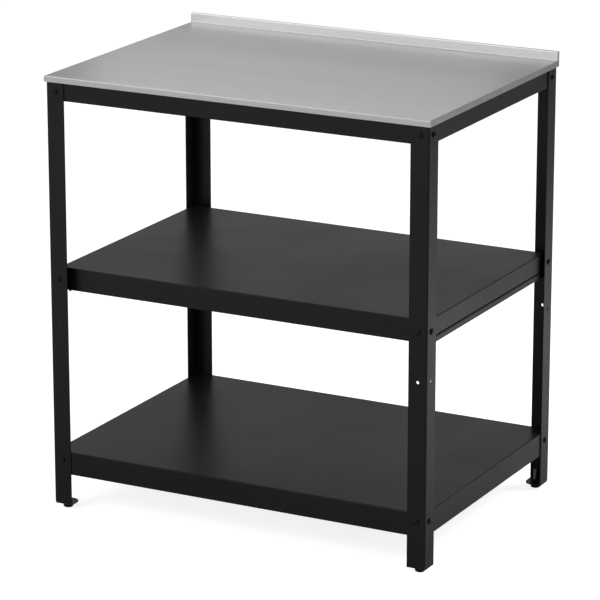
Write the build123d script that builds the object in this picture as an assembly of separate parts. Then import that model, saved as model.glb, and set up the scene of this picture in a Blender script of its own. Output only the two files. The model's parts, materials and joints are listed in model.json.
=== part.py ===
"""Outdoor shelving unit: four angle posts, a stainless worktop with a rear upstand, and two sheet shelves.

The upper frame is four channel rails behind the post flanges. The bottom shelf is a deep tray screwed
straight into the posts. The middle shelf is a smaller tray that drops in between two side carriers.
Every post stands on a levelling foot that screws into a tab folded in at its lower end.
"""
from build123d import *
from math import atan2, degrees
import os

os.makedirs("parts", exist_ok=True)

# All sizes are millimetres. X runs along the width, Y from the front to the rear, Z up from the floor.

# Worktop: a stainless sheet folded down and under along its edges, with a boxed upstand along the rear
WORKTOP_WIDTH = 860.0
WORKTOP_DEPTH = 610.0
WORKTOP_TOP = 920.0            # working surface above the floor
WORKTOP_EDGE = 12.0            # height of the folded edge
WORKTOP_HEM = 22.0             # reach of the edge's return under the sheet
WORKTOP_SHEET = 1.2
WORKTOP_BEND = 2.0             # radius of the folded edges, which meet in mitres at the corners
UPSTAND_RISE = 20.0            # upstand above the working surface
UPSTAND_THICKNESS = 9.0
OVERHANG = 3.5                 # worktop past the posts, on every side

# Posts: equal steel angles
POST_FLANGE = 40.0
POST_SHEET = 2.0
POST_BEND = 3.0                # outer radius of the angle's bend
POST_BOTTOM = 10.5             # height of the posts' lower ends above the floor
POST_TOP_GAP = 0.5             # between a post's upper end and the worktop's edge
POST_TOP_ROUND = 9.0           # rounding of the flanges' free upper corners
CORNER_RELIEF = 5.0            # diagonal cut across the bend at the lower end
FOOT_TAB = 40.0                # depth of the tab folded in at the lower end
FOOT_TAB_ROUND = 18.0
HOLE_INSET = 20.0              # screw lines, from the posts' outer faces

# Levels
MIDDLE_SHELF_TOP = 517.0
BOTTOM_SHELF_TOP = 127.0
RAIL_SCREW_DROP = 19.0         # upper screws below the worktop's edge
SHELF_SCREW_DROP = 19.5        # shelf screws below the shelf's face
SPARE_HOLE_DROP = 101.0        # spare holes for a lower middle shelf, below its screws

# Upper rails: channels that open inwards
RAIL_HEIGHT = 38.0
RAIL_FLANGE = 22.0             # upper flange, which carries the worktop
RAIL_LIP = 10.0                # lower return
RAIL_SHEET = 1.5
RAIL_BEND = 2.5

# Shelves: folded trays, open below
SHELF_SHEET = 1.0
SHELF_NOTCH = 4.0              # square relief cut at each corner, where the folds meet
SHELF_BEND = 2.0               # radius along the upper edges
SHELF_HEM = 12.0               # reach of the folds' returns
BOTTOM_FOLD = 49.0
MIDDLE_FRONT_FOLD = 47.0
MIDDLE_SIDE_FOLD = 36.5
MIDDLE_CLEARANCE = 0.5         # middle shelf to the nuts and screws round it

# Carriers: inverted channels flush with the middle shelf's side folds, with ears behind the post flanges
CARRIER_SHEET = 2.0
CARRIER_OUTER_LEG = 12.5
CARRIER_INNER_LEG = 16.0
CARRIER_LEDGE = 14.0           # width of the channel, which the shelf's returns sit on
CARRIER_BEND = 3.0
EAR_LENGTH = 36.0
EAR_ABOVE = 12.0               # ear above its screws
EAR_ROUND = 8.0
LEDGE_CLEARANCE = 2.0          # ledge to the returns of the shelf's front and rear folds
REST_HEIGHT = 2.5              # embossed rests that the shelf sits on
REST_RADIUS = 2.8              # upper face of a rest
REST_FLARE = 1.2               # its foot past its upper face
REST_SPAN = 360.0              # between the two rests of a carrier

# Stiffeners: hat sections welded under the sheets
STIFFENER_SHEET = 1.0
STIFFENER_CROWN = 44.0
STIFFENER_BRIM = 15.0
SHELF_STIFFENER_HEIGHT = 25.0
WORKTOP_STIFFENER_SPAN = 290.0  # between the worktop's two stiffeners
STIFFENER_GAP = 1.0            # at the stiffeners' ends

# Frame screws: button heads with a hexagon socket, and weld nuts
SCREW_DIAMETER = 6.0
SCREW_LENGTH = 12.0
SCREW_HEAD = 12.0
SCREW_HEAD_HEIGHT = 3.3
SCREW_RIM = 0.8                # upright rim of a head, below its crown
SCREW_CROWN = 6.5              # diameter of the crown's flat
SCREW_SOCKET = 4.0             # across the socket's flats
SCREW_SOCKET_DEPTH = 2.0
NUT_FLATS = 10.0
NUT_HEIGHT = 4.5
HOLE_PLAY = 0.3                # radial play of a screw in its hole
THREAD_PLAY = 0.05             # radial play of a screw in its nut

# Worktop screws, driven up through the rails into nuts in the worktop's hem
TOP_SCREW_DIAMETER = 5.0
TOP_SCREW_LENGTH = 9.0
TOP_SCREW_HEAD = 9.0
TOP_SCREW_HEAD_HEIGHT = 2.8
TOP_SCREW_RIM = 0.6
TOP_SCREW_CROWN = 5.0
TOP_SCREW_SOCKET = 3.0
TOP_SCREW_SOCKET_DEPTH = 1.6
TOP_NUT_FLATS = 8.0
TOP_NUT_HEIGHT = 4.0
TOP_SCREW_INSET = 10.5         # from the posts' outer faces
TOP_SCREW_SPAN = 500.0         # between the two on a rail

# Levelling feet
FOOT_INSET = 20.0              # foot axis, from the posts' outer faces
GLIDE_DIAMETER = 20.0
GLIDE_FACE = 16.0              # diameter that stands on the floor
GLIDE_NECK = 13.0              # diameter of the upper face
GLIDE_HEIGHT = 8.0
GLIDE_RIM_LOW = 2.0
GLIDE_RIM_HIGH = 4.5
STUD_DIAMETER = 8.0
STUD_TOP = 40.0
STUD_SEAT = 3.0                # stud's lower end above the floor, inside the glide
STUD_CHAMFER = 1.0
FOOT_NUT_FLATS = 13.0
FOOT_NUT_HEIGHT = 6.5
FOOT_HOLE_PLAY = 0.5           # radial play of the stud in the tab
FOOT_THREAD_PLAY = 0.3         # radial play of the stud in its nut

END_FIT = 0.5                  # between a rail's end and the rail beside it

# Sides of the small round pieces and of the holes that they fill, which repeat many times
SHANK_SIDES = 6
HEAD_SIDES = 12
FOOT_SIDES = 16

# Places that follow from the sizes above
POST_X = WORKTOP_WIDTH / 2 - OVERHANG
POST_Y = WORKTOP_DEPTH / 2 - OVERHANG
INNER_X = POST_X - POST_SHEET
INNER_Y = POST_Y - POST_SHEET
SCREW_X = POST_X - HOLE_INSET
SCREW_Y = POST_Y - HOLE_INSET
FOOT_X = POST_X - FOOT_INSET
FOOT_Y = POST_Y - FOOT_INSET

EDGE_BOTTOM = WORKTOP_TOP - WORKTOP_EDGE
SHEET_UNDERSIDE = WORKTOP_TOP - WORKTOP_SHEET
UPSTAND_TOP = WORKTOP_TOP + UPSTAND_RISE
POST_TOP = EDGE_BOTTOM - POST_TOP_GAP
RAIL_BOTTOM = EDGE_BOTTOM - RAIL_HEIGHT

TOP_SCREW_Z = EDGE_BOTTOM - RAIL_SCREW_DROP
MIDDLE_SCREW_Z = MIDDLE_SHELF_TOP - SHELF_SCREW_DROP
SPARE_HOLE_Z = MIDDLE_SCREW_Z - SPARE_HOLE_DROP
BOTTOM_SCREW_Z = BOTTOM_SHELF_TOP - SHELF_SCREW_DROP

MIDDLE_X = INNER_X - CARRIER_SHEET - NUT_HEIGHT - MIDDLE_CLEARANCE
MIDDLE_Y = SCREW_Y - SCREW_DIAMETER / 2 - MIDDLE_CLEARANCE
SIDE_FOLD_BOTTOM = MIDDLE_SHELF_TOP - MIDDLE_SIDE_FOLD
LEDGE_TOP = SIDE_FOLD_BOTTOM - REST_HEIGHT
LEDGE_Y = MIDDLE_Y - SHELF_HEM - LEDGE_CLEARANCE
CARRIER_BOTTOM = LEDGE_TOP - CARRIER_OUTER_LEG

SCREW_HOLE_RADIUS = SCREW_DIAMETER / 2 + HOLE_PLAY
TOP_SCREW_HOLE_RADIUS = TOP_SCREW_DIAMETER / 2 + HOLE_PLAY
TOP_SCREW_Y = POST_Y - TOP_SCREW_INSET
REACH = 2 * POST_FLANGE        # longer than any hole through a flange is deep

FRONT_TO_REAR = {"front": -1, "rear": 1}
LEFT_TO_RIGHT = {"left": -1, "right": 1}


def block(x_low, x_high, y_low, y_high, z_low, z_high):
    """Box between two corners."""
    size = Box(x_high - x_low, y_high - y_low, z_high - z_low, align=Align.MIN)
    return Pos(x_low, y_low, z_low) * size


def folded_block(x_low, x_high, y_low, y_high, z_low, z_high, bend):
    """Box between two corners, its upper edges rounded."""
    body = block(x_low, x_high, y_low, y_high, z_low, z_high)
    return fillet(body.edges().group_by(Axis.Z)[-1], bend)


def prism(radius, height, sides):
    """Flat-sided pin up from Z = 0, within the circle."""
    return extrude(RegularPolygon(radius, sides), height)


def tapered_prism(low_radius, high_radius, height, sides):
    """Flat-sided pin that narrows upwards from Z = 0. The radii are to its flats."""
    angle = degrees(atan2(low_radius - high_radius, height))
    return extrude(RegularPolygon(low_radius, sides, major_radius=False), height, taper=angle)


def strip_section(points, sheet, bend, side):
    """Section of a folded strip: its outer face follows the points, with bends of the outer radius."""
    return make_face(offset(FilletPolyline(*points, radius=bend), amount=sheet, side=side))


def angle_section(leg, sheet, bend):
    """Section of an equal angle with its corner at the origin and its legs along X and Y."""
    return strip_section([(0, leg), (0, 0), (leg, 0)], sheet, bend, Side.LEFT)


def hat_section(height, sheet):
    """Section of a hat stiffener that hangs from Z = 0, its brims against the sheet above."""
    crown = STIFFENER_CROWN / 2
    brim = crown + STIFFENER_BRIM
    drop = height - sheet
    points = [(-brim, 0), (-crown, 0), (-crown, -drop), (crown, -drop), (crown, 0), (brim, 0)]
    outline = offset(Polyline(*points), amount=sheet, side=Side.RIGHT, kind=Kind.INTERSECTION)
    return make_face(outline)


def open_hole(radius):
    """Cutter along Z for a hole that stays open."""
    return Cylinder(radius, REACH)


def filled_hole(radius, depth=REACH):
    """Cutter along Z for a hole that a screw or stud fills: flat-sided, clear of the circle."""
    return extrude(RegularPolygon(radius, SHANK_SIDES, major_radius=False), depth / 2, both=True)


def along_y(x, y, z, cutter):
    """Cutter turned for a flange that faces front or rear."""
    return Pos(x, y, z) * Rot(90, 0, 0) * cutter


def along_x(x, y, z, cutter):
    """Cutter turned for a flange that faces left or right."""
    return Pos(x, y, z) * Rot(0, 90, 0) * cutter


def at_corner(front_left, end, side):
    """A front left corner's piece, carried over to another corner."""
    piece = front_left
    if LEFT_TO_RIGHT[side] > 0:
        piece = mirror(piece, about=Plane.YZ)
    if FRONT_TO_REAR[end] > 0:
        piece = mirror(piece, about=Plane.XZ)
    return piece


def make_post():
    """Front left post: angle, folded foot tab, rounded upper corners and screw holes."""
    body = extrude(angle_section(POST_FLANGE, POST_SHEET, POST_BEND), POST_TOP - POST_BOTTOM)
    upper_ends = body.edges().group_by(Axis.Z)[-1]
    free_x = upper_ends.filter_by(Axis.Y).sort_by(Axis.X)[-1]
    free_y = upper_ends.filter_by(Axis.X).sort_by(Axis.Y)[-1]
    body = fillet([free_x, free_y], POST_TOP_ROUND)

    cut = CORNER_RELIEF
    triangle = Polyline((0, 0), (cut, 0), (0, cut), close=True)
    across_front = extrude(Plane.XZ * make_face(triangle), amount=POST_BEND, both=True)
    across_side = extrude(Plane.YZ * make_face(triangle), amount=POST_BEND, both=True)
    body = body - across_front - across_side

    bend_points = [(0, 2 * POST_BEND), (0, 0), (FOOT_TAB, 0)]
    tab_section = strip_section(bend_points, POST_SHEET, POST_BEND, Side.LEFT)
    tab = Pos(cut, 0, 0) * extrude(Plane.YZ * tab_section, POST_FLANGE - cut)
    tab_ends = tab.edges().filter_by(Axis.Z).group_by(Axis.Y)[-1]
    tab = fillet(tab_ends.sort_by(Axis.X)[-1], FOOT_TAB_ROUND)
    body = body - block(cut, POST_FLANGE, 0, POST_SHEET, 0, POST_BEND) + tab

    screw_hole = filled_hole(SCREW_HOLE_RADIUS)
    levels = {
        TOP_SCREW_Z: screw_hole,
        MIDDLE_SCREW_Z: screw_hole,
        SPARE_HOLE_Z: open_hole(SCREW_HOLE_RADIUS),
        BOTTOM_SCREW_Z: screw_hole,
    }
    for level, cutter in levels.items():
        z = level - POST_BOTTOM
        body = body - along_y(HOLE_INSET, 0, z, cutter) - along_x(0, HOLE_INSET, z, cutter)
    foot_hole = filled_hole(STUD_DIAMETER / 2 + FOOT_HOLE_PLAY, 2 * POST_BEND)
    body = body - Pos(FOOT_INSET, FOOT_INSET, 0) * foot_hole
    return Pos(-POST_X, -POST_Y, POST_BOTTOM) * body


def make_rail(half_length, flange_half, screw_half):
    """Channel rail along X, its outer face at Y = 0 and its lower edge at Z = 0."""
    points = [(RAIL_LIP, 0), (0, 0), (0, RAIL_HEIGHT), (RAIL_FLANGE, RAIL_HEIGHT)]
    section = strip_section(points, RAIL_SHEET, RAIL_BEND, Side.RIGHT)
    body = extrude(Plane.YZ * section, half_length, both=True)
    screw_level = TOP_SCREW_Z - RAIL_BOTTOM
    for side in LEFT_TO_RIGHT.values():
        ends = sorted((side * flange_half, side * (half_length + RAIL_FLANGE)))
        body = body - block(ends[0], ends[1], RAIL_SHEET, 2 * RAIL_FLANGE, -RAIL_SHEET, 2 * RAIL_HEIGHT)
        body = body - along_y(side * screw_half, 0, screw_level, filled_hole(SCREW_HOLE_RADIUS))
    return body


def make_rails():
    """The four upper rails, by name. The long ones have holes for the worktop's screws."""
    long_rail = make_rail(INNER_X - RAIL_SHEET - END_FIT, POST_X - POST_FLANGE, SCREW_X)
    short_rail = make_rail(INNER_Y - RAIL_SHEET - END_FIT, POST_Y - POST_FLANGE, SCREW_Y)
    front = Pos(0, -INNER_Y, RAIL_BOTTOM) * long_rail
    for x, y in worktop_screw_places():
        front = front - Pos(x, y, EDGE_BOTTOM) * filled_hole(TOP_SCREW_HOLE_RADIUS, 4 * RAIL_SHEET)
    left = Pos(-INNER_X, 0, RAIL_BOTTOM) * Rot(0, 0, -90) * short_rail
    return {
        "top_rail_front": front,
        "top_rail_rear": mirror(front, about=Plane.XZ),
        "top_rail_left": left,
        "top_rail_right": mirror(left, about=Plane.YZ),
    }


def worktop_screw_places():
    """Centres of the worktop screws, two on the front rail and two on the rear one."""
    places = []
    for x_side in LEFT_TO_RIGHT.values():
        for y_side in FRONT_TO_REAR.values():
            places.append((x_side * TOP_SCREW_SPAN / 2, y_side * TOP_SCREW_Y))
    return places


def make_worktop():
    """Hollow folded worktop: sheet, edges, hem and boxed upstand."""
    half_x = WORKTOP_WIDTH / 2
    half_y = WORKTOP_DEPTH / 2
    sheet = WORKTOP_SHEET
    plate = folded_block(-half_x, half_x, -half_y, half_y, EDGE_BOTTOM, WORKTOP_TOP, WORKTOP_BEND)
    upstand_front = half_y - UPSTAND_THICKNESS
    upstand = folded_block(-half_x, half_x, upstand_front, half_y, EDGE_BOTTOM, UPSTAND_TOP, WORKTOP_BEND)
    bend = WORKTOP_BEND
    fold_section = Polyline((-bend, 0), (0, 0), (0, bend)) + CenterArc((-bend, bend), bend, 270, 90)
    fold = extrude(Plane.YZ * make_face(fold_section), half_x - bend, both=True)
    body = plate + upstand + Pos(0, upstand_front, WORKTOP_TOP) * fold

    hem_top = EDGE_BOTTOM + sheet
    hollow = block(-half_x + sheet, half_x - sheet, -half_y + sheet, half_y - sheet, hem_top, SHEET_UNDERSIDE)
    upstand_hollow = block(-half_x + sheet, half_x - sheet, upstand_front + sheet, half_y - sheet,
                           hem_top, UPSTAND_TOP - sheet)
    open_x = half_x - WORKTOP_HEM
    open_y = half_y - WORKTOP_HEM
    opening = block(-open_x, open_x, -open_y, open_y, EDGE_BOTTOM - sheet, hem_top)
    body = body - hollow - upstand_hollow - opening
    for x, y in worktop_screw_places():
        body = body - Pos(x, y, EDGE_BOTTOM) * filled_hole(TOP_SCREW_HOLE_RADIUS, 4 * sheet)
    return body


def make_worktop_stiffener(side):
    """Hat section from front to rear under the worktop, standing on the rails' flanges."""
    section = hat_section(SHEET_UNDERSIDE - EDGE_BOTTOM, STIFFENER_SHEET)
    half = WORKTOP_DEPTH / 2 - WORKTOP_HEM - STIFFENER_GAP
    body = extrude(Plane.XZ * section, half, both=True)
    return Pos(side * WORKTOP_STIFFENER_SPAN / 2, 0, SHEET_UNDERSIDE) * body


def make_shelf_stiffener(inner_half, shelf_top):
    """Hat section from side to side under a shelf's sheet."""
    section = hat_section(SHELF_STIFFENER_HEIGHT, STIFFENER_SHEET)
    body = extrude(Plane.YZ * section, inner_half - STIFFENER_GAP, both=True)
    return Pos(0, 0, shelf_top - SHELF_SHEET) * body


def make_tray(half_x, half_y, top, fold):
    """Sheet with folds all round and their returns, open below, its corners not yet notched."""
    sheet = SHELF_SHEET
    bottom = top - fold
    outer = folded_block(-half_x, half_x, -half_y, half_y, bottom, top, SHELF_BEND)
    inner_x = half_x - sheet
    inner_y = half_y - sheet
    inner = folded_block(-inner_x, inner_x, -inner_y, inner_y, bottom + sheet, top - sheet, SHELF_BEND - sheet)
    reach_x = half_x - SHELF_HEM
    reach_y = half_y - SHELF_HEM
    mouth = block(-reach_x, reach_x, -reach_y, reach_y, bottom - sheet, bottom + 2 * sheet)
    return outer - inner - mouth


def notch_corners(body, half_x, half_y, bottom, top):
    """Tray with a square relief cut through its corners."""
    for x_side in LEFT_TO_RIGHT.values():
        for y_side in FRONT_TO_REAR.values():
            notch = Box(2 * SHELF_NOTCH, 2 * SHELF_NOTCH, 2 * (top - bottom))
            body = body - Pos(x_side * half_x, y_side * half_y, bottom) * notch
    return body


def make_bottom_shelf():
    """Deep tray between the posts, with a return along the lower edge of every fold."""
    body = make_tray(INNER_X, INNER_Y, BOTTOM_SHELF_TOP, BOTTOM_FOLD)
    bottom = BOTTOM_SHELF_TOP - BOTTOM_FOLD
    cutter = filled_hole(SCREW_HOLE_RADIUS)
    for x_side in LEFT_TO_RIGHT.values():
        for y_side in FRONT_TO_REAR.values():
            body = body - along_y(x_side * SCREW_X, y_side * INNER_Y, BOTTOM_SCREW_Z, cutter)
            body = body - along_x(x_side * INNER_X, y_side * SCREW_Y, BOTTOM_SCREW_Z, cutter)
    return notch_corners(body, INNER_X, INNER_Y, bottom, BOTTOM_SHELF_TOP)


def make_middle_shelf():
    """Drop-in tray: deep folds at front and rear, shallow ones over the carriers."""
    sheet = SHELF_SHEET
    body = make_tray(MIDDLE_X, MIDDLE_Y, MIDDLE_SHELF_TOP, MIDDLE_FRONT_FOLD)
    bottom = MIDDLE_SHELF_TOP - MIDDLE_FRONT_FOLD
    run_y = MIDDLE_Y - SHELF_NOTCH
    inside_x = MIDDLE_X - SHELF_HEM
    side_cut = block(inside_x, MIDDLE_X + sheet, -run_y, run_y, bottom - sheet, SIDE_FOLD_BOTTOM)
    side_return = block(inside_x, MIDDLE_X, -run_y, run_y, SIDE_FOLD_BOTTOM, SIDE_FOLD_BOTTOM + sheet)
    body = body - side_cut - mirror(side_cut, about=Plane.YZ)
    body = body + side_return + mirror(side_return, about=Plane.YZ)
    return notch_corners(body, MIDDLE_X, MIDDLE_Y, bottom, MIDDLE_SHELF_TOP)


def make_carrier():
    """Left carrier: inverted channel with embossed rests, and an ear in each post."""
    points = [(0, -CARRIER_OUTER_LEG), (0, 0), (CARRIER_LEDGE, 0), (CARRIER_LEDGE, -CARRIER_INNER_LEG)]
    section = strip_section(points, CARRIER_SHEET, CARRIER_BEND, Side.RIGHT)
    run = INNER_Y - CARRIER_SHEET / 2
    body = extrude(Plane.XZ * section, run, both=True)
    trim = block(CARRIER_SHEET, 2 * CARRIER_LEDGE, -INNER_Y, -LEDGE_Y, -2 * CARRIER_INNER_LEG, CARRIER_SHEET)
    body = body - trim - mirror(trim, about=Plane.XZ)

    rest = tapered_prism(REST_RADIUS + REST_FLARE, REST_RADIUS, REST_HEIGHT, HEAD_SIDES)
    for end in FRONT_TO_REAR.values():
        place = Pos(CARRIER_LEDGE / 2, end * REST_SPAN / 2, 0)
        body = body + place * rest
        body = body - place * Pos(0, 0, -CARRIER_SHEET) * rest
    body = Pos(INNER_X - MIDDLE_X, 0, 0) * body

    ear_top = MIDDLE_SCREW_Z + EAR_ABOVE
    ear = extrude(angle_section(EAR_LENGTH, CARRIER_SHEET, CARRIER_BEND), ear_top - CARRIER_BOTTOM)
    upper_ends = ear.edges().group_by(Axis.Z)[-1]
    free_x = upper_ends.filter_by(Axis.Y).sort_by(Axis.X)[-1]
    free_y = upper_ends.filter_by(Axis.X).sort_by(Axis.Y)[-1]
    ear = fillet([free_x, free_y], EAR_ROUND)
    screw_inset = HOLE_INSET - POST_SHEET
    screw_level = MIDDLE_SCREW_Z - CARRIER_BOTTOM
    cutter = filled_hole(SCREW_HOLE_RADIUS)
    ear = ear - along_y(screw_inset, 0, screw_level, cutter) - along_x(0, screw_inset, screw_level, cutter)
    ear = Pos(0, -INNER_Y, -CARRIER_OUTER_LEG) * ear
    body = body + ear + mirror(ear, about=Plane.XZ)
    return Pos(-INNER_X, 0, LEDGE_TOP) * body


def make_screw(diameter, length, head, head_height, rim, crown, socket, socket_depth):
    """Button-head screw with a hexagon socket, its head above Z = 0 and its shank below."""
    body = extrude(RegularPolygon(head / 2, HEAD_SIDES, major_radius=False), rim)
    body = body + Pos(0, 0, rim) * tapered_prism(head / 2, crown / 2, head_height - rim, HEAD_SIDES)
    drive = extrude(RegularPolygon(socket / 2, 6, major_radius=False), head_height)
    body = body - Pos(0, 0, head_height - socket_depth) * drive
    return body + Pos(0, 0, -length) * prism(diameter / 2, length, SHANK_SIDES)


def make_nut(flats, height, bore_radius):
    """Hexagon nut whose upper face is at Z = 0."""
    outline = RegularPolygon(flats / 2, 6, major_radius=False)
    bore = RegularPolygon(bore_radius, SHANK_SIDES, major_radius=False)
    return extrude(outline - bore, -height)


def frame_screw_places(level):
    """Places of the eight screws at a level, each with its head outwards along its own Z."""
    places = []
    for x_side in LEFT_TO_RIGHT.values():
        for y_side in FRONT_TO_REAR.values():
            places.append(Pos(x_side * SCREW_X, y_side * POST_Y, level) * Rot(-90 * y_side, 0, 0))
            places.append(Pos(x_side * POST_X, y_side * SCREW_Y, level) * Rot(0, 90 * x_side, 0))
    return places


def make_frame_fasteners():
    """Screw and nut groups of the three levels, by name."""
    screw = make_screw(SCREW_DIAMETER, SCREW_LENGTH, SCREW_HEAD, SCREW_HEAD_HEIGHT, SCREW_RIM, SCREW_CROWN,
                       SCREW_SOCKET, SCREW_SOCKET_DEPTH)
    nut = make_nut(NUT_FLATS, NUT_HEIGHT, SCREW_DIAMETER / 2 + THREAD_PLAY)
    levels = {
        "top": (TOP_SCREW_Z, RAIL_SHEET),
        "middle": (MIDDLE_SCREW_Z, CARRIER_SHEET),
        "bottom": (BOTTOM_SCREW_Z, SHELF_SHEET),
    }
    groups = {}
    for name, (level, sheet) in levels.items():
        places = frame_screw_places(level)
        behind = Pos(0, 0, -POST_SHEET - sheet)
        groups["frame_screws_" + name] = [place * screw for place in places]
        groups["frame_nuts_" + name] = [place * behind * nut for place in places]
    return groups


def make_worktop_fasteners():
    """Worktop screws and their nuts in the hem, by name."""
    screw = make_screw(TOP_SCREW_DIAMETER, TOP_SCREW_LENGTH, TOP_SCREW_HEAD, TOP_SCREW_HEAD_HEIGHT,
                       TOP_SCREW_RIM, TOP_SCREW_CROWN, TOP_SCREW_SOCKET, TOP_SCREW_SOCKET_DEPTH)
    nut = make_nut(TOP_NUT_FLATS, TOP_NUT_HEIGHT, TOP_SCREW_DIAMETER / 2 + THREAD_PLAY)
    under_rail = EDGE_BOTTOM - RAIL_SHEET
    behind = Pos(0, 0, -RAIL_SHEET - WORKTOP_SHEET)
    places = [Pos(x, y, under_rail) * Rot(180, 0, 0) for x, y in worktop_screw_places()]
    return {
        "worktop_screws": [place * screw for place in places],
        "worktop_nuts": [place * behind * nut for place in places],
    }


def make_glide():
    """Front left foot's plastic glide, standing on the floor."""
    radius = GLIDE_DIAMETER / 2
    low = mirror(tapered_prism(radius, GLIDE_FACE / 2, GLIDE_RIM_LOW, FOOT_SIDES), about=Plane.XY)
    rim = extrude(RegularPolygon(radius, FOOT_SIDES, major_radius=False), GLIDE_RIM_HIGH - GLIDE_RIM_LOW)
    high = tapered_prism(radius, GLIDE_NECK / 2, GLIDE_HEIGHT - GLIDE_RIM_HIGH, FOOT_SIDES)
    body = Pos(0, 0, GLIDE_RIM_LOW) * (low + rim) + Pos(0, 0, GLIDE_RIM_HIGH) * high
    socket = prism(STUD_DIAMETER / 2, GLIDE_HEIGHT, HEAD_SIDES)
    return Pos(-FOOT_X, -FOOT_Y, 0) * (body - Pos(0, 0, STUD_SEAT) * socket)


def make_stud():
    """Front left foot's threaded stud, set in the glide."""
    body = prism(STUD_DIAMETER / 2, STUD_TOP - STUD_SEAT, HEAD_SIDES)
    body = chamfer(body.edges().group_by(Axis.Z)[-1], STUD_CHAMFER)
    return Pos(-FOOT_X, -FOOT_Y, STUD_SEAT) * body


def make_foot_nut():
    """Front left foot's nut, welded on the tab."""
    nut = make_nut(FOOT_NUT_FLATS, FOOT_NUT_HEIGHT, STUD_DIAMETER / 2 + FOOT_THREAD_PLAY)
    return Pos(-FOOT_X, -FOOT_Y, POST_BOTTOM + POST_SHEET + FOOT_NUT_HEIGHT) * nut


def build():
    """Every sub-part by its node's name: one solid, or a list of like solids."""
    nodes = {}
    post = make_post()
    glide = make_glide()
    stud = make_stud()
    foot_nut = make_foot_nut()
    nodes["foot_nuts"] = []
    for end in FRONT_TO_REAR:
        for side in LEFT_TO_RIGHT:
            corner = end + "_" + side
            nodes["post_" + corner] = at_corner(post, end, side)
            nodes["foot_glide_" + corner] = at_corner(glide, end, side)
            nodes["foot_stud_" + corner] = at_corner(stud, end, side)
            nodes["foot_nuts"].append(at_corner(foot_nut, end, side))

    nodes.update(make_rails())
    nodes["worktop"] = make_worktop()
    for side, sign in LEFT_TO_RIGHT.items():
        nodes["worktop_stiffener_" + side] = make_worktop_stiffener(sign)

    nodes["shelf_bottom"] = make_bottom_shelf()
    nodes["shelf_bottom_stiffener"] = make_shelf_stiffener(INNER_X - SHELF_SHEET, BOTTOM_SHELF_TOP)
    nodes["shelf_middle"] = make_middle_shelf()
    nodes["shelf_middle_stiffener"] = make_shelf_stiffener(MIDDLE_X - SHELF_SHEET, MIDDLE_SHELF_TOP)
    carrier = make_carrier()
    nodes["shelf_carrier_left"] = carrier
    nodes["shelf_carrier_right"] = mirror(carrier, about=Plane.YZ)

    nodes.update(make_frame_fasteners())
    nodes.update(make_worktop_fasteners())
    return nodes


for name, made in build().items():
    pieces = made if isinstance(made, list) else [made]
    solids = [solid for piece in pieces for solid in piece.solids()]
    shape = solids[0] if len(solids) == 1 else Compound(solids)
    export_step(shape, os.path.join("parts", name + ".step"))
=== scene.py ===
"""Looks of the outdoor shelving unit: finishes, detailed fasteners and feet, studio and camera."""
import json
import math
import bmesh
import bpy
from mathutils import Matrix, Vector


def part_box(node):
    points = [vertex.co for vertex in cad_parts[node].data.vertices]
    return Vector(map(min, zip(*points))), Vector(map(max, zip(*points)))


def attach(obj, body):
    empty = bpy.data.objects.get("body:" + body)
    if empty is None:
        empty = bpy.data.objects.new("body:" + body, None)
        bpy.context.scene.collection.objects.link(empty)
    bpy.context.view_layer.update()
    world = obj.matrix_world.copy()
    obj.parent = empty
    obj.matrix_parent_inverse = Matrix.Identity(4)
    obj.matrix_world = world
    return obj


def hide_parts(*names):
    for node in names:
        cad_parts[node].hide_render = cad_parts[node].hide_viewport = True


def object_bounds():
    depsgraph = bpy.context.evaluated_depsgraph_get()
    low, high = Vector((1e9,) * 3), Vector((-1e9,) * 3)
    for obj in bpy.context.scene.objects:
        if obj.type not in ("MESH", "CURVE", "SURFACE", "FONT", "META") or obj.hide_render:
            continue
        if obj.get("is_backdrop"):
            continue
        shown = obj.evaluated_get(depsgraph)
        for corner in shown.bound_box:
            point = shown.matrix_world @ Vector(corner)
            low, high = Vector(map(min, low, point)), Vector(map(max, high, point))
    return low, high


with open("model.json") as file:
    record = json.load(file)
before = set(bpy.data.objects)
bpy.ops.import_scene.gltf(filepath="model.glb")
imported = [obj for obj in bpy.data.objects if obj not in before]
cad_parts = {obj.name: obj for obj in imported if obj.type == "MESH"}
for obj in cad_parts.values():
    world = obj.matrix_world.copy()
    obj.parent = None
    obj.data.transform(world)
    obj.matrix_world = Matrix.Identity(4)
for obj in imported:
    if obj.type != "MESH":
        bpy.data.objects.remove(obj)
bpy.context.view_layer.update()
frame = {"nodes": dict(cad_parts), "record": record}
nodes = frame["nodes"]

MM = 0.001
CORNERS = [(end + "_" + side, sx, sy)
           for end, sy in (("front", -1), ("rear", 1))
           for side, sx in (("left", -1), ("right", 1))]
LEVELS = ("top", "middle", "bottom")

# Frame screws and nuts
SCREW_INSET = 20 * MM
SCREW_LENGTH = 12 * MM
SCREW_RADIUS = 2.95 * MM
SCREW_PITCH = 1 * MM
SCREW_THREAD_END = 5.5 * MM
HEAD_RADIUS = 6 * MM
HEAD_HEIGHT = 3.3 * MM
HEAD_RIM = 0.8 * MM
HEAD_CROWN = 3.25 * MM
HEAD_SOCKET = 4 * MM
HEAD_SOCKET_DEPTH = 2 * MM
NUT_WIDTH = 10 * MM
NUT_HEIGHT = 4.5 * MM

# Worktop screws and nuts
TOP_SCREW_X = 250 * MM
TOP_SCREW_Y = 291 * MM
TOP_SCREW_LENGTH = 9 * MM
TOP_SCREW_RADIUS = 2.45 * MM
TOP_SCREW_PITCH = 0.8 * MM
TOP_SCREW_THREAD_END = 6.5 * MM
TOP_HEAD_RADIUS = 4.5 * MM
TOP_HEAD_HEIGHT = 2.8 * MM
TOP_HEAD_RIM = 0.6 * MM
TOP_HEAD_CROWN = 2.5 * MM
TOP_HEAD_SOCKET = 3 * MM
TOP_HEAD_SOCKET_DEPTH = 1.6 * MM
TOP_NUT_WIDTH = 8 * MM
TOP_NUT_HEIGHT = 4 * MM

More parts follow.
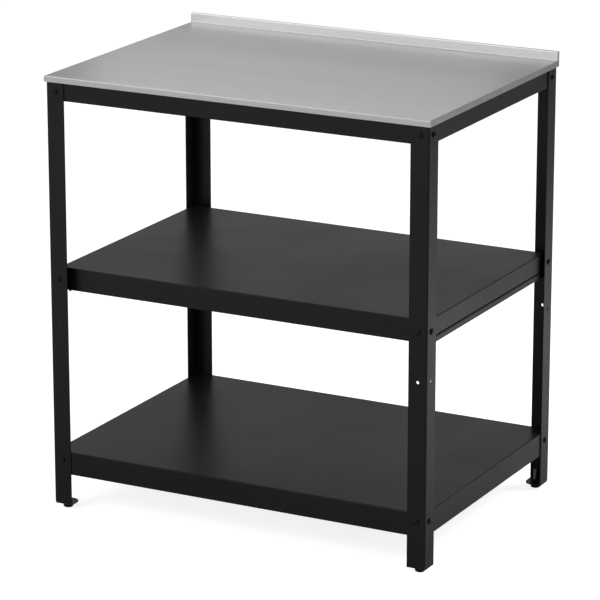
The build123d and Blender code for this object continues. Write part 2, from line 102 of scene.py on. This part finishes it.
# Levelling feet
STUD_RADIUS = 3.95 * MM
STUD_PITCH = 1.25 * MM
STUD_CHAMFER = 0.8 * MM
FOOT_NUT_WIDTH = 13 * MM
FOOT_NUT_HEIGHT = 6.5 * MM
BORE_PLAY = 0.08 * MM

# Fineness of the round pieces
HEAD_STEPS = 36
THREAD_STEPS = 18
THREAD_STEPS_PER_TURN = 6
GLIDE_STEPS = 48
DOME_STEPS = 6
THREAD_DEPTH_PER_PITCH = 0.55
SMOOTH_ANGLE = math.radians(35)
SOCKET_TURN = math.radians(37)

# Shares in the fasteners' shapes
TIP_RADIUS = 0.78              # screw tip, of the thread's radius
TIP_LENGTH = 0.4               # plain tip before the thread, of the pitch
RIM_PARTS = 3                  # a head's lower edge is rounded by one such part of its rim
SOCKET_EDGE = 0.15             # chamfer at a socket's mouth, of its depth
SOCKET_POINT = 0.1             # drill point in a socket's floor, of its width
NUT_FACE = 0.95                # turned face of a nut, of its width
NUT_LEAD = 0.08                # countersink of its bore, of its width
NUT_CORNER = 0.02              # least depth of its turned corners, of their radius
NUT_CORNER_SLOPE = math.tan(math.radians(30))

# Section of a glide, as shares of its radius and height, and of its neck's radius
GLIDE_FACE = 0.74
GLIDE_RIM = [(0.80, 0.02), (0.93, 0.14), (0.985, 0.22), (1, 0.30), (1, 0.50), (0.97, 0.55), (0.90, 0.57),
             (0.74, 0.60), (0.68, 0.64)]
GLIDE_NECK = 0.65
GLIDE_NECK_SIDE = [(1, 0.72), (1, 0.94), (0.97, 0.985), (0.92, 1)]
GLIDE_WELL_FLOOR = 0.45

# Noise values that the finishes spread out
NOISE_LOW = 0.3
NOISE_HIGH = 0.7
TONE_START = 0.35
TONE_END = 0.65

# Upstand of the worktop, and the painted light that makes it look lighter than the sheet
UPSTAND_RISE = 20 * MM
UPSTAND_PAINTED_LIGHT = 1.38
UPSTAND_PAINTED_LIGHT_FADE_LOW = 1 * MM
UPSTAND_PAINTED_LIGHT_FADE_HIGH = 2 * MM

# Camera
CAMERA_DISTANCE = 7.0
CAMERA_TURN = math.radians(27.67)
CAMERA_PITCH = math.radians(16.36)
CAMERA_ASIDE = -0.0080
CAMERA_RAISE = -0.0383
CAMERA_AIM = Vector((0, 0, 0.470))
CAMERA_FOCAL_PIXELS = 3392.5
PICTURE_PIXELS = 600
SENSOR_WIDTH = 36.0
CAMERA_SIGHT = 200

# Floor and world
FLOOR_SIZE = 60.0
FLOOR_TONE = 0.50
FLOOR_GLOW = 0.85              # seen by the camera
FLOOR_MIRRORED_GLOW = 0.05     # seen in the part's reflections
SKY_LOW = 0.56                 # strength near the horizon, in reflections
SKY_HIGH = 0.26                # strength overhead, in reflections
SKY_FADE_START = 0.1           # heights on the unit sphere between which it changes
SKY_FADE_END = 0.6
AMBIENT = 0.36                 # strength as light


# Ring meshes about the Z axis

def circle(radius):
    """The outline of a circle, as a radius at an angle."""
    return lambda angle: radius


def hexagon(width):
    """The outline of a hexagon of this width across its flats, as a radius at an angle."""
    sixth = math.pi / 3
    return lambda angle: width / 2 / math.cos(angle % sixth - sixth / 2)


def add_ring(bm, steps, radius_at, height):
    """A ring of points, at one height or at a height for each angle."""
    ring = []
    for step in range(steps):
        angle = 2 * math.pi * step / steps
        radius = radius_at(angle)
        z = height(angle) if callable(height) else height
        ring.append(bm.verts.new((radius * math.cos(angle), radius * math.sin(angle), z)))
    return ring


def skin_rings(bm, rings):
    """Faces between each ring and the next."""
    for lower, upper in zip(rings, rings[1:]):
        count = len(lower)
        for i in range(count):
            j = (i + 1) % count
            bm.faces.new((lower[i], lower[j], upper[j], upper[i]))


def cap_start(bm, ring, height):
    """Closes the first ring with a fan about a middle point."""
    middle = bm.verts.new((0, 0, height))
    for i in range(len(ring)):
        bm.faces.new((ring[(i + 1) % len(ring)], ring[i], middle))


def cap_end(bm, ring, height):
    """Closes the last ring with a fan about a middle point."""
    middle = bm.verts.new((0, 0, height))
    for i in range(len(ring)):
        bm.faces.new((ring[i], ring[(i + 1) % len(ring)], middle))


def thread_rings(bm, steps, radius, pitch, low, high):
    """Rings whose radius follows a helical ridge, faded out at both ends."""
    depth = THREAD_DEPTH_PER_PITCH * pitch
    count = max(2, round((high - low) / pitch * THREAD_STEPS_PER_TURN))
    rings = []
    for i in range(count + 1):
        z = low + (high - low) * i / count
        fade = min(1, (z - low) / pitch, (high - z) / pitch)

        def radius_at(angle, z=z, fade=fade):
            phase = (z / pitch - angle / (2 * math.pi)) % 1
            ridge = abs(2 * phase - 1)
            return radius - depth * fade * (1 - ridge)

        rings.append(add_ring(bm, steps, radius_at, z))
    return rings


def screw_mesh(radius, length, pitch, thread_end, head, height, rim, crown, socket, socket_depth):
    """A button-head screw with a hexagon socket. Its head stands on z = 0 and its shank points down."""
    bm = bmesh.new()
    tip = add_ring(bm, THREAD_STEPS, circle(radius * TIP_RADIUS), -length)
    shank = [tip]
    thread_start = -length + TIP_LENGTH * pitch
    shank += thread_rings(bm, THREAD_STEPS, radius, pitch, thread_start, -length + thread_end)
    shank.append(add_ring(bm, THREAD_STEPS, circle(radius), 0))
    skin_rings(bm, shank)
    cap_start(bm, tip, -length)
    rings = [add_ring(bm, HEAD_STEPS, circle(radius), 0)]
    rings.append(add_ring(bm, HEAD_STEPS, circle(head - rim / RIM_PARTS), 0))
    rings.append(add_ring(bm, HEAD_STEPS, circle(head), rim / RIM_PARTS))
    for step in range(DOME_STEPS + 1):
        share = math.pi / 2 * step / DOME_STEPS
        dome_radius = crown + (head - crown) * math.cos(share)
        dome_height = rim + (height - rim) * math.sin(share)
        rings.append(add_ring(bm, HEAD_STEPS, circle(dome_radius), dome_height))
    edge = SOCKET_EDGE * socket_depth
    rings.append(add_ring(bm, HEAD_STEPS, hexagon(socket + edge), height))
    rings.append(add_ring(bm, HEAD_STEPS, hexagon(socket), height - edge))
    rings.append(add_ring(bm, HEAD_STEPS, hexagon(socket), height - socket_depth))
    skin_rings(bm, rings)
    cap_end(bm, rings[-1], height - socket_depth - SOCKET_POINT * socket)
    return bm


def nut_mesh(width, height, bore):
    """A hexagon nut with turned corners, from z = 0 down to -height."""
    bm = bmesh.new()
    outline = hexagon(width)
    corner = NUT_CORNER * (width / math.sqrt(3))

    def drop(angle):
        return (outline(angle) - width / 2) * NUT_CORNER_SLOPE

    face = width / 2 * NUT_FACE
    lead = NUT_LEAD * width
    rings = [add_ring(bm, HEAD_STEPS, circle(bore), -height + lead)]
    rings.append(add_ring(bm, HEAD_STEPS, circle(bore + lead), -height))
    rings.append(add_ring(bm, HEAD_STEPS, circle(face), -height))
    rings.append(add_ring(bm, HEAD_STEPS, outline, lambda angle: -height + drop(angle) + corner))
    rings.append(add_ring(bm, HEAD_STEPS, outline, lambda angle: -drop(angle) - corner))
    rings.append(add_ring(bm, HEAD_STEPS, circle(face), 0))
    rings.append(add_ring(bm, HEAD_STEPS, circle(bore + lead), 0))
    rings.append(add_ring(bm, HEAD_STEPS, circle(bore), -lead))
    rings.append(rings[0])
    skin_rings(bm, rings)
    return bm


def stud_mesh(radius, pitch, low, high):
    """A threaded stud with chamfered ends."""
    bm = bmesh.new()
    ends = circle(radius - STUD_CHAMFER)
    rings = [add_ring(bm, HEAD_STEPS, ends, low)]
    rings += thread_rings(bm, HEAD_STEPS, radius, pitch, low + STUD_CHAMFER, high - STUD_CHAMFER)
    rings.append(add_ring(bm, HEAD_STEPS, ends, high))
    skin_rings(bm, rings)
    cap_start(bm, rings[0], low)
    cap_end(bm, rings[-1], high)
    return bm


def glide_mesh(radius, height):
    """A moulded foot: a domed rim on a flat face, a neck above it and a well for the stud."""
    bm = bmesh.new()
    neck = GLIDE_NECK * radius
    well = STUD_RADIUS + BORE_PLAY
    well_floor = GLIDE_WELL_FLOOR * height
    profile = [(GLIDE_FACE * radius, 0)]
    profile += [(r * radius, z * height) for r, z in GLIDE_RIM]
    profile += [(r * neck, z * height) for r, z in GLIDE_NECK_SIDE]
    profile += [(well, height), (well, well_floor)]
    rings = [add_ring(bm, GLIDE_STEPS, circle(r), z) for r, z in profile]
    skin_rings(bm, rings)
    cap_start(bm, rings[0], 0)
    cap_end(bm, rings[-1], well_floor)
    return bm


# Placing pieces

def facing(axis, at, turn=0.0):
    """Turns a mesh about Z, points its +Z along an axis and moves it to a place."""
    aim = Vector((0, 0, 1)).rotation_difference(Vector(axis)).to_matrix().to_4x4()
    return Matrix.Translation(Vector(at)) @ aim @ Matrix.Rotation(turn, 4, "Z")


def make_piece(name, source, places, material, body, slot, *replaced):
    """One object with a copy of the source mesh at each place."""
    whole = bmesh.new()
    single = bpy.data.meshes.new(name + "_single")
    source.to_mesh(single)
    source.free()
    for place in places:
        copy = single.copy()
        copy.transform(place)
        whole.from_mesh(copy)
        bpy.data.meshes.remove(copy)
    bpy.data.meshes.remove(single)
    mesh = bpy.data.meshes.new(name)
    whole.to_mesh(mesh)
    whole.free()
    mesh.polygons.foreach_set("use_smooth", [True] * len(mesh.polygons))
    mesh.set_sharp_from_angle(angle=SMOOTH_ANGLE)
    mesh.materials.append(material)
    piece = bpy.data.objects.new(name, mesh)
    bpy.context.scene.collection.objects.link(piece)
    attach(piece, body)
    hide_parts(*replaced)


# Materials

def new_material(name):
    """A material with its node tree and its one shader."""
    material = bpy.data.materials.new(name)
    material.use_nodes = True
    tree = material.node_tree
    tree.nodes.clear()
    output = tree.nodes.new("ShaderNodeOutputMaterial")
    shader = tree.nodes.new("ShaderNodeBsdfPrincipled")
    tree.links.new(shader.outputs["BSDF"], output.inputs["Surface"])
    return material, tree, shader


def add_noise(tree, scale, detail, stretch=(1, 1, 1)):
    """Noise in the object's own metres, with a stretch along each axis."""
    place = tree.nodes.new("ShaderNodeTexCoord")
    spread = tree.nodes.new("ShaderNodeMapping")
    spread.inputs["Scale"].default_value = stretch
    noise = tree.nodes.new("ShaderNodeTexNoise")
    noise.inputs["Scale"].default_value = scale
    noise.inputs["Detail"].default_value = detail
    tree.links.new(place.outputs["Object"], spread.inputs["Vector"])
    tree.links.new(spread.outputs["Vector"], noise.inputs["Vector"])
    return noise.outputs["Fac"]


def add_range(tree, value, low, high, source_low=NOISE_LOW, source_high=NOISE_HIGH):
    """A value spread from its source range to another."""
    spread = tree.nodes.new("ShaderNodeMapRange")
    spread.inputs["From Min"].default_value = source_low
    spread.inputs["From Max"].default_value = source_high
    spread.inputs["To Min"].default_value = low
    spread.inputs["To Max"].default_value = high
    tree.links.new(value, spread.inputs["Value"])
    return spread.outputs["Result"]


def add_tones(tree, value, dark, light):
    """A colour between two tones, led by a noise value."""
    ramp = tree.nodes.new("ShaderNodeValToRGB")
    ramp.color_ramp.elements[0].position = TONE_START
    ramp.color_ramp.elements[0].color = (*dark, 1)
    ramp.color_ramp.elements[1].position = TONE_END
    ramp.color_ramp.elements[1].color = (*light, 1)
    tree.links.new(value, ramp.inputs["Fac"])
    return ramp.outputs["Color"]


def add_bump(tree, value, shader, strength, depth):
    """Fine relief on a shader, led by a noise value."""
    bump = tree.nodes.new("ShaderNodeBump")
    bump.inputs["Strength"].default_value = strength
    bump.inputs["Distance"].default_value = depth
    tree.links.new(value, bump.inputs["Height"])
    tree.links.new(bump.outputs["Normal"], shader.inputs["Normal"])


def powder_coat():
    """Matt black powder coat with a fine orange-peel texture."""
    material, tree, shader = new_material("black_powder_coat_fine")
    grain = add_noise(tree, scale=900, detail=3)
    drift = add_noise(tree, scale=5, detail=2)
    tones = add_tones(tree, drift, dark=(0.0040, 0.0040, 0.0041), light=(0.0050, 0.0050, 0.0051))
    tree.links.new(tones, shader.inputs["Base Color"])
    tree.links.new(add_range(tree, drift, low=0.32, high=0.38), shader.inputs["Roughness"])
    shader.inputs["Specular IOR Level"].default_value = 0.25
    add_bump(tree, grain, shader, strength=0.10, depth=0.15 * MM)
    return material


def stainless():
    """Brushed stainless sheet with its grain along the width, and painted light that makes its upstand
    lighter.
    """
    material, tree, shader = new_material("stainless_brushed")
    grain = add_noise(tree, scale=1, detail=6, stretch=(3, 900, 900))
    bands = add_noise(tree, scale=1, detail=2, stretch=(1.2, 9, 9))
    tones = add_tones(tree, bands, dark=(0.495, 0.495, 0.49), light=(0.525, 0.525, 0.52))
    place = tree.nodes.new("ShaderNodeTexCoord")
    split = tree.nodes.new("ShaderNodeSeparateXYZ")
    tree.links.new(place.outputs["Object"], split.inputs["Vector"])
    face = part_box("worktop")[1].z - UPSTAND_RISE
    height = split.outputs["Z"]
    # Painted light: the upstand's base colour is scaled up so that it looks lighter than the sheet, as if
    # front light falls on it
    painted_light = add_range(tree, height, 1, UPSTAND_PAINTED_LIGHT, face + UPSTAND_PAINTED_LIGHT_FADE_LOW, face + UPSTAND_PAINTED_LIGHT_FADE_HIGH)
    painted_lit_tones = tree.nodes.new("ShaderNodeVectorMath")
    painted_lit_tones.operation = "SCALE"
    tree.links.new(tones, painted_lit_tones.inputs[0])
    tree.links.new(painted_light, painted_lit_tones.inputs["Scale"])
    tree.links.new(painted_lit_tones.outputs["Vector"], shader.inputs["Base Color"])
    tree.links.new(add_range(tree, grain, low=0.26, high=0.38), shader.inputs["Roughness"])
    shader.inputs["Metallic"].default_value = 1.0
    shader.inputs["Anisotropic"].default_value = 0.6
    shader.inputs["Anisotropic Rotation"].default_value = 0.25
    along = tree.nodes.new("ShaderNodeCombineXYZ")
    along.inputs["X"].default_value = 1
    along.inputs["Y"].default_value = 0.05
    tree.links.new(along.outputs["Vector"], shader.inputs["Tangent"])
    add_bump(tree, grain, shader, strength=0.05, depth=0.05 * MM)
    return material


def galvanised():
    """Galvanised sheet with a soft spangle."""
    material, tree, shader = new_material("galvanised_spangle")
    place = tree.nodes.new("ShaderNodeTexCoord")
    cells = tree.nodes.new("ShaderNodeTexVoronoi")
    cells.inputs["Scale"].default_value = 140
    tree.links.new(place.outputs["Object"], cells.inputs["Vector"])
    spangle = cells.outputs["Color"]
    tones = add_tones(tree, spangle, dark=(0.42, 0.43, 0.44), light=(0.52, 0.53, 0.54))
    tree.links.new(tones, shader.inputs["Base Color"])
    roughness = add_range(tree, spangle, low=0.38, high=0.52, source_low=0, source_high=1)
    tree.links.new(roughness, shader.inputs["Roughness"])
    shader.inputs["Metallic"].default_value = 1.0
    return material


def zinc():
    """Bright zinc plating with slight clouding."""
    material, tree, shader = new_material("zinc_bright")
    clouds = add_noise(tree, scale=220, detail=4)
    tones = add_tones(tree, clouds, dark=(0.32, 0.33, 0.34), light=(0.42, 0.43, 0.44))
    tree.links.new(tones, shader.inputs["Base Color"])
    tree.links.new(add_range(tree, clouds, low=0.22, high=0.36), shader.inputs["Roughness"])
    shader.inputs["Metallic"].default_value = 1.0
    return material


def black_screw():
    """Black-oxide screw steel with worn, smoother patches."""
    material, tree, shader = new_material("black_oxide_screw")
    wear = add_noise(tree, scale=400, detail=4)
    tones = add_tones(tree, wear, dark=(0.0015, 0.0015, 0.0015), light=(0.003, 0.003, 0.003))
    tree.links.new(tones, shader.inputs["Base Color"])
    tree.links.new(add_range(tree, wear, low=0.14, high=0.22), shader.inputs["Roughness"])
    shader.inputs["Specular IOR Level"].default_value = 0.25
    add_bump(tree, wear, shader, strength=0.06, depth=0.05 * MM)
    return material


def plastic():
    """Matt black moulded plastic with a fine mould grain."""
    material, tree, shader = new_material("glide_plastic_matt")
    grain = add_noise(tree, scale=1500, detail=3)
    drift = add_noise(tree, scale=60, detail=2)
    tones = add_tones(tree, drift, dark=(0.006, 0.006, 0.006), light=(0.010, 0.010, 0.010))
    tree.links.new(tones, shader.inputs["Base Color"])
    tree.links.new(add_range(tree, drift, low=0.45, high=0.58), shader.inputs["Roughness"])
    shader.inputs["Specular IOR Level"].default_value = 0.3
    add_bump(tree, grain, shader, strength=0.12, depth=0.08 * MM)
    return material


finishes = {
    "black_powder_coat": powder_coat(),
    "stainless_sheet": stainless(),
    "galvanised_sheet": galvanised(),
    "black_screw": black_screw(),
    "zinc_steel": zinc(),
    "glide_plastic": plastic(),
}
slot_of = {row["node"]: row["material_slot"] for row in frame["record"]["subparts"]}
for name, node in nodes.items():
    node.data.materials.clear()
    node.data.materials.append(finishes[slot_of[name]])


# Fasteners

post_low, post_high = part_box("post_front_right")
post_x = post_high.x
post_y = -post_low.y


def frame_places(level, out_x, out_y):
    """Both flanges of every post at one level, at these distances from the middle planes."""
    low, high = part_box("frame_screws_" + level)
    z = (low.z + high.z) / 2
    places = []
    for index, (_, sx, sy) in enumerate(CORNERS):
        across = (sx * (post_x - SCREW_INSET), sy * out_y, z)
        along = (sx * out_x, sy * (post_y - SCREW_INSET), z)
        places.append(facing((0, sy, 0), across, SOCKET_TURN * index))
        places.append(facing((sx, 0, 0), along, SOCKET_TURN * (index + 0.5)))
    return places


for level in LEVELS:
    screw = screw_mesh(SCREW_RADIUS, SCREW_LENGTH, SCREW_PITCH, SCREW_THREAD_END, HEAD_RADIUS, HEAD_HEIGHT,
                       HEAD_RIM, HEAD_CROWN, HEAD_SOCKET, HEAD_SOCKET_DEPTH)
    make_piece("frame_screw_set_" + level, screw, frame_places(level, post_x, post_y),
               finishes["black_screw"], "frame", "black_screw", "frame_screws_" + level)
    nut_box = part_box("frame_nuts_" + level)[1]
    nut = nut_mesh(NUT_WIDTH, NUT_HEIGHT, SCREW_RADIUS + BORE_PLAY)
    make_piece("frame_nut_set_" + level, nut, frame_places(level, nut_box.x, nut_box.y),
               finishes["black_powder_coat"], "frame", "black_powder_coat", "frame_nuts_" + level)

top_places = [(sx * TOP_SCREW_X, sy * TOP_SCREW_Y) for sx in (-1, 1) for sy in (-1, 1)]
top_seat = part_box("worktop_screws")[0].z + TOP_HEAD_HEIGHT
screw = screw_mesh(TOP_SCREW_RADIUS, TOP_SCREW_LENGTH, TOP_SCREW_PITCH, TOP_SCREW_THREAD_END, TOP_HEAD_RADIUS,
                   TOP_HEAD_HEIGHT, TOP_HEAD_RIM, TOP_HEAD_CROWN, TOP_HEAD_SOCKET, TOP_HEAD_SOCKET_DEPTH)
make_piece("worktop_screw_set", screw, [facing((0, 0, -1), (x, y, top_seat), x + y) for x, y in top_places],
           finishes["black_screw"], "frame", "black_screw", "worktop_screws")
top_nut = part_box("worktop_nuts")[1].z
nut = nut_mesh(TOP_NUT_WIDTH, TOP_NUT_HEIGHT, TOP_SCREW_RADIUS + BORE_PLAY)
make_piece("worktop_nut_set", nut, [facing((0, 0, 1), (x, y, top_nut), x + y) for x, y in top_places],
           finishes["zinc_steel"], "frame", "zinc_steel", "worktop_nuts")

# Levelling feet

foot_places = {}
for corner, _, _ in CORNERS:
    low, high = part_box("foot_glide_" + corner)
    middle = (low + high) / 2
    foot_places[corner] = (middle.x, middle.y)
    at = Matrix.Translation(Vector((middle.x, middle.y, low.z)))
    glide_radius = (high.y - low.y) / 2
    make_piece("glide_" + corner, glide_mesh(glide_radius, high.z - low.z), [at], finishes["glide_plastic"],
               "foot_" + corner, "glide_plastic", "foot_glide_" + corner)
    stud_low, stud_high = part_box("foot_stud_" + corner)
    at = Matrix.Translation(Vector((middle.x, middle.y, 0)))
    make_piece("stud_" + corner, stud_mesh(STUD_RADIUS, STUD_PITCH, stud_low.z, stud_high.z), [at],
               finishes["zinc_steel"], "foot_" + corner, "zinc_steel", "foot_stud_" + corner)

nut_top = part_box("foot_nuts")[1].z
nut = nut_mesh(FOOT_NUT_WIDTH, FOOT_NUT_HEIGHT, STUD_RADIUS + BORE_PLAY)
make_piece("foot_nut_set", nut, [facing((0, 0, 1), (x, y, nut_top), x) for x, y in foot_places.values()],
           finishes["black_powder_coat"], "frame", "black_powder_coat", "foot_nuts")

# Floor, world, lamps and camera

def add_seen_share(tree):
    """1 for rays that show the background: from the camera, or off glossy or clear surfaces."""
    path = tree.nodes.new("ShaderNodeLightPath")
    first = tree.nodes.new("ShaderNodeMath")
    first.operation = "MAXIMUM"
    tree.links.new(path.outputs["Is Camera Ray"], first.inputs[0])
    tree.links.new(path.outputs["Is Glossy Ray"], first.inputs[1])
    both = tree.nodes.new("ShaderNodeMath")
    both.operation = "MAXIMUM"
    tree.links.new(first.outputs["Value"], both.inputs[0])
    tree.links.new(path.outputs["Is Transmission Ray"], both.inputs[1])
    return path.outputs["Is Camera Ray"], both.outputs["Value"]


def make_floor():
    """A plain pale floor that glows to the camera and keeps the part's shadow."""
    material = bpy.data.materials.new("floor_pale")
    material.use_nodes = True
    tree = material.node_tree
    tree.nodes.clear()
    output = tree.nodes.new("ShaderNodeOutputMaterial")
    diffuse = tree.nodes.new("ShaderNodeBsdfDiffuse")
    diffuse.inputs["Color"].default_value = (FLOOR_TONE, FLOOR_TONE, FLOOR_TONE, 1)
    glow = tree.nodes.new("ShaderNodeEmission")
    camera, seen = add_seen_share(tree)
    mirrored = tree.nodes.new("ShaderNodeMath")
    mirrored.operation = "MULTIPLY"
    mirrored.inputs[1].default_value = FLOOR_MIRRORED_GLOW
    tree.links.new(seen, mirrored.inputs[0])
    direct = tree.nodes.new("ShaderNodeMath")
    direct.operation = "MULTIPLY_ADD"
    direct.inputs[1].default_value = FLOOR_GLOW - FLOOR_MIRRORED_GLOW
    tree.links.new(camera, direct.inputs[0])
    tree.links.new(mirrored.outputs["Value"], direct.inputs[2])
    tree.links.new(direct.outputs["Value"], glow.inputs["Strength"])
    both = tree.nodes.new("ShaderNodeAddShader")
    tree.links.new(glow.outputs["Emission"], both.inputs[0])
    tree.links.new(diffuse.outputs["BSDF"], both.inputs[1])
    tree.links.new(both.outputs["Shader"], output.inputs["Surface"])
    bm = bmesh.new()
    bmesh.ops.create_grid(bm, x_segments=1, y_segments=1, size=FLOOR_SIZE / 2)
    mesh = bpy.data.meshes.new("floor")
    bm.to_mesh(mesh)
    bm.free()
    mesh.materials.append(material)
    floor = bpy.data.objects.new("floor", mesh)
    bpy.context.scene.collection.objects.link(floor)
    floor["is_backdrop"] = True


def make_world():
    """White to the camera, a graded sky in reflections and an even soft light elsewhere."""
    world = bpy.data.worlds.new("studio")
    bpy.context.scene.world = world
    world.use_nodes = True
    tree = world.node_tree
    tree.nodes.clear()
    output = tree.nodes.new("ShaderNodeOutputWorld")
    place = tree.nodes.new("ShaderNodeTexCoord")
    split = tree.nodes.new("ShaderNodeSeparateXYZ")
    tree.links.new(place.outputs["Generated"], split.inputs["Vector"])
    level = add_range(tree, split.outputs["Z"], SKY_LOW, SKY_HIGH, SKY_FADE_START, SKY_FADE_END)
    sky = tree.nodes.new("ShaderNodeBackground")
    tree.links.new(level, sky.inputs["Strength"])
    white = tree.nodes.new("ShaderNodeBackground")
    soft = tree.nodes.new("ShaderNodeBackground")
    soft.inputs["Strength"].default_value = AMBIENT
    camera, seen = add_seen_share(tree)
    for background in (sky, white, soft):
        background.inputs["Color"].default_value = (1, 1, 1, 1)
    shown = tree.nodes.new("ShaderNodeMixShader")
    tree.links.new(camera, shown.inputs["Fac"])
    tree.links.new(sky.outputs["Background"], shown.inputs[1])
    tree.links.new(white.outputs["Background"], shown.inputs[2])
    whole = tree.nodes.new("ShaderNodeMixShader")
    tree.links.new(seen, whole.inputs["Fac"])
    tree.links.new(soft.outputs["Background"], whole.inputs[1])
    tree.links.new(shown.outputs["Shader"], whole.inputs[2])
    tree.links.new(whole.outputs["Shader"], output.inputs["Surface"])


def make_lamp(name, at, aim, width, height, power, mirrored=True, lighting=True):
    """A soft rectangular lamp, which may stay out of reflections or show in them alone."""
    lamp = bpy.data.lights.new(name, "AREA")
    lamp.shape = "RECTANGLE"
    lamp.size = width
    lamp.size_y = height
    lamp.energy = power
    thing = bpy.data.objects.new(name, lamp)
    thing.location = at
    thing.rotation_mode = "QUATERNION"
    thing.rotation_quaternion = (Vector(aim) - Vector(at)).to_track_quat("-Z", "Y")
    thing.visible_glossy = mirrored
    thing.visible_diffuse = lighting
    bpy.context.scene.collection.objects.link(thing)


def make_camera():
    """A camera at the photograph's angle, without roll or shift."""
    right = Vector((math.cos(CAMERA_TURN), math.sin(CAMERA_TURN), 0))
    ahead = Vector((-math.sin(CAMERA_TURN) * math.cos(CAMERA_PITCH),
                    math.cos(CAMERA_TURN) * math.cos(CAMERA_PITCH), -math.sin(CAMERA_PITCH)))
    up = right.cross(ahead)
    data = bpy.data.cameras.new("camera")
    data.sensor_width = SENSOR_WIDTH
    data.lens = SENSOR_WIDTH * CAMERA_FOCAL_PIXELS / PICTURE_PIXELS
    data.clip_end = CAMERA_SIGHT
    camera = bpy.data.objects.new("camera", data)
    camera.location = CAMERA_AIM + right * CAMERA_ASIDE + up * CAMERA_RAISE - ahead * CAMERA_DISTANCE
    camera.rotation_mode = "QUATERNION"
    camera.rotation_quaternion = ahead.to_track_quat("-Z", "Y")
    bpy.context.scene.collection.objects.link(camera)
    bpy.context.scene.camera = camera


make_floor()
make_world()
make_lamp("key", at=(-2.6, -3.8, 2.5), aim=(0, 0, 0.5), width=6.4, height=4.2, power=84)
make_lamp("side", at=(1.5, 1.1, 1.4), aim=(1.5, 1.1, 0), width=1.0, height=1.0, power=40, mirrored=False)
make_lamp("front", at=(-1.4, -2.8, 2.2), aim=(-1.4, -2.8, 0), width=1.6, height=1.6, power=42, mirrored=False)
make_lamp("rear", at=(-0.41, 0.62, 1.38), aim=(-0.41, 0, 0.92), width=1.05, height=0.3, power=0.8)
make_lamp("over", at=(-1.16, 0.7, 3.0), aim=(-1.16, 0.5, 0.92), width=1.6, height=0.8, power=4)
make_lamp("strip", at=(-1.25, -0.4, 3.1), aim=(-1.25, -0.3, 0), width=1.7, height=1.7, power=12,
          lighting=False)
make_camera()
bpy.context.scene.view_settings.view_transform = "Standard"

low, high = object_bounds()
